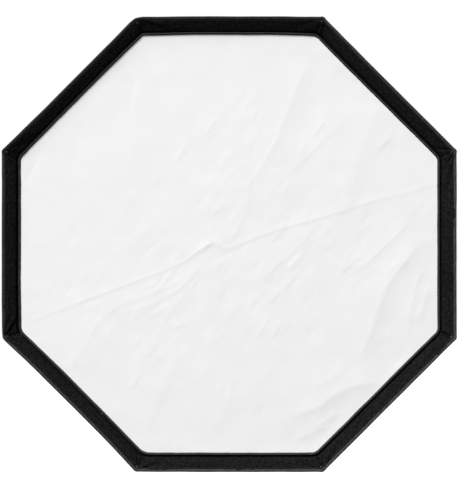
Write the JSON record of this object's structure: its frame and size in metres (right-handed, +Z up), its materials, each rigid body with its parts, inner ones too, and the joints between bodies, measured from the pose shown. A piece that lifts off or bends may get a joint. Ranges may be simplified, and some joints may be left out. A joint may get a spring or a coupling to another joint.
{
  "type": "studio softbox",
  "caption": "Octagonal fabric softbox with bowed rods, a white front diffuser, an inner baffle and a rotating bayonet speed ring.",
  "frame": {"origin": "centre of the bayonet seat, the rear face of the insert's flange that meets the light head's front plate", "axes": "+Y along the optical axis towards the light head, so the diffuser faces -Y; +Z up"},
  "size_m": [0.95, 0.4085, 0.95],
  "materials": {
    "bright_aluminium": "machined, satin",
    "black_aluminium": "black anodised",
    "screw_steel": "zinc plated",
    "knob_nylon": "moulded, matt",
    "rod_steel": "drawn spring steel",
    "tip_vinyl": "dipped, matt",
    "shell_cloth": "black woven polyester, silver inside",
    "rim_cloth": "black brushed loop fabric",
    "edge_binding": "dark grey rolled binding",
    "loop_tape": "loop tape",
    "diffuser_cloth": "white woven nylon",
    "baffle_cloth": "white woven nylon",
    "baffle_edge": "white edge binding",
    "strap_elastic": "ribbed elastic"
  },
  "bodies": {
    "bayonet_mount": {"bayonet_insert": "bright_aluminium", "retaining_ring": "bright_aluminium", "retaining_screw_1": "screw_steel", "retaining_screw_2": "screw_steel", "retaining_screw_3": "screw_steel", "retaining_screw_4": "screw_steel"},
    "softbox": {"speed_ring": "black_aluminium", "rod_socket_1": "black_aluminium", "rod_socket_2": "black_aluminium", "rod_socket_3": "black_aluminium", "rod_socket_4": "black_aluminium", "rod_socket_5": "black_aluminium", "rod_socket_6": "black_aluminium", "rod_socket_7": "black_aluminium", "rod_socket_8": "black_aluminium", "rod_1": "rod_steel", "rod_2": "rod_steel", "rod_3": "rod_steel", "rod_4": "rod_steel", "rod_5": "rod_steel", "rod_6": "rod_steel", "rod_7": "rod_steel", "rod_8": "rod_steel", "rod_tip_1": "tip_vinyl", "rod_tip_2": "tip_vinyl", "rod_tip_3": "tip_vinyl", "rod_tip_4": "tip_vinyl", "rod_tip_5": "tip_vinyl", "rod_tip_6": "tip_vinyl", "rod_tip_7": "tip_vinyl", "rod_tip_8": "tip_vinyl", "shell_panel_1": "shell_cloth", "shell_panel_2": "shell_cloth", "shell_panel_3": "shell_cloth", "shell_panel_4": "shell_cloth", "shell_panel_5": "shell_cloth", "shell_panel_6": "shell_cloth", "shell_panel_7": "shell_cloth", "shell_panel_8": "shell_cloth", "rear_collar": "shell_cloth", "rim_band": "rim_cloth", "rim_piping": "edge_binding", "rim_loop_tape": "loop_tape", "inner_baffle": "baffle_cloth", "baffle_binding": "baffle_edge", "baffle_strap_1": "strap_elastic", "baffle_strap_2": "strap_elastic", "baffle_strap_3": "strap_elastic", "baffle_strap_4": "strap_elastic", "baffle_strap_5": "strap_elastic", "baffle_strap_6": "strap_elastic", "baffle_strap_7": "strap_elastic", "baffle_strap_8": "strap_elastic"},
    "front_diffuser": {"diffuser_panel": "diffuser_cloth", "diffuser_binding": "edge_binding"},
    "lock_knob": {"lock_knob": "knob_nylon"}
  },
  "joints": [
    {"name": "box_rotation", "type": "hinge", "parent": "bayonet_mount", "child": "softbox", "pos_m": [0, 0, 0], "axis": [0, 1, 0], "continuous": true},
    {"name": "lock_knob_turn", "type": "hinge", "parent": "softbox", "child": "lock_knob", "pos_m": [0, -0.0125, -0.09], "axis": [0, 0, -1], "range_deg": [0, 360]},
    {"name": "diffuser_removal", "type": "slide", "parent": "softbox", "child": "front_diffuser", "axis": [0, -1, 0], "range_m": [0, 0.15]}
  ]
}
